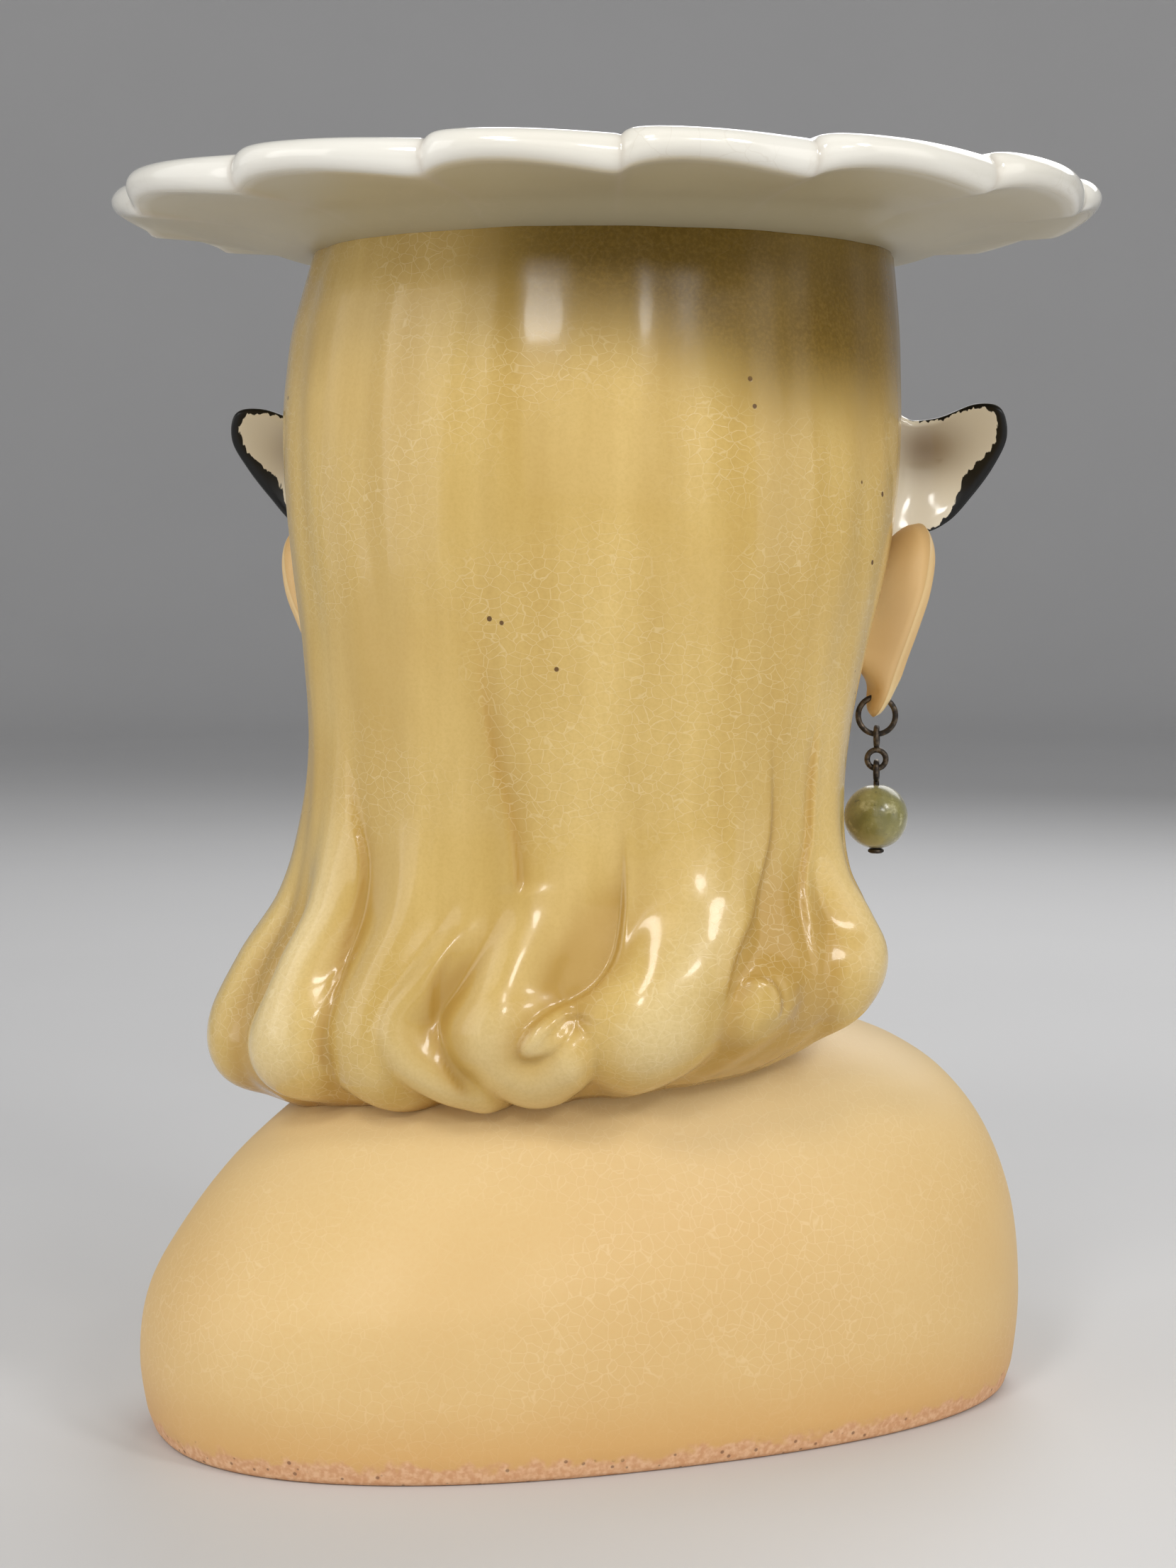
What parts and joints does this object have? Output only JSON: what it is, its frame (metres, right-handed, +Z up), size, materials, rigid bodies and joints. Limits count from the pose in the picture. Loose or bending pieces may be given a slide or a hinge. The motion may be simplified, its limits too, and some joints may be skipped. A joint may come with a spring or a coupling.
{
  "type": "face vase",
  "caption": "Lady's-head vase: hollow bust with a turned head, long curled hair, a scalloped plate hat whose crown is the mouth, and swinging drop earrings.",
  "frame": {"origin": "on the table, under the axis of the round hat brim", "axes": "+Z up along the hat's axis, +X to the figure's left along the shoulders, the shoulders face -Y"},
  "size_m": [0.1212, 0.1203, 0.1484],
  "materials": {
    "skin_glaze": "peach satin glaze with fine crackle",
    "hair_glaze": "glossy golden ochre glaze, darker in the creases",
    "white_glaze": "glossy warm white glaze",
    "petal_glaze": "glossy white glaze with a brushed black edge",
    "tarnished_wire": "dark tarnished wire",
    "pearl_bead": "worn olive imitation pearl"
  },
  "bodies": {
    "vase": {"bust_shell": "skin_glaze", "head_shell": "skin_glaze", "hair_shell": "hair_glaze", "hat_brim": "white_glaze", "left_ear": "skin_glaze", "right_ear": "skin_glaze", "left_hair_petal": "petal_glaze", "right_hair_petal": "petal_glaze"},
    "left_ring": {"left_lobe_ring": "tarnished_wire"},
    "left_link": {"left_twist_link": "tarnished_wire"},
    "left_drop": {"left_head_pin": "tarnished_wire", "left_pearl_bead": "pearl_bead"},
    "right_ring": {"right_lobe_ring": "tarnished_wire"},
    "right_link": {"right_twist_link": "tarnished_wire"},
    "right_drop": {"right_head_pin": "tarnished_wire", "right_pearl_bead": "pearl_bead"}
  },
  "joints": [
    {"name": "left_ring_swing", "type": "hinge", "parent": "vase", "child": "left_ring", "pos_m": [0.02723, -0.01986, 0.0864], "axis": [0.8572, -0.515, 0], "range_deg": [-25, 20]},
    {"name": "left_link_sway", "type": "hinge", "parent": "left_ring", "child": "left_link", "pos_m": [0.02723, -0.01986, 0.08221], "axis": [0.515, 0.8572, 0], "range_deg": [-30, 10]},
    {"name": "left_drop_swing", "type": "hinge", "parent": "left_link", "child": "left_drop", "pos_m": [0.02723, -0.01986, 0.07793], "axis": [0.8572, -0.515, 0], "range_deg": [-20, 15]},
    {"name": "right_ring_swing", "type": "hinge", "parent": "vase", "child": "right_ring", "pos_m": [-0.03032, 0.01472, 0.0864], "axis": [0.8572, -0.515, 0], "range_deg": [-25, 20]},
    {"name": "right_link_sway", "type": "hinge", "parent": "right_ring", "child": "right_link", "pos_m": [-0.03032, 0.01472, 0.08221], "axis": [0.515, 0.8572, 0], "range_deg": [-10, 30]},
    {"name": "right_drop_swing", "type": "hinge", "parent": "right_link", "child": "right_drop", "pos_m": [-0.03032, 0.01472, 0.07793], "axis": [0.8572, -0.515, 0], "range_deg": [-20, 15]}
  ]
}
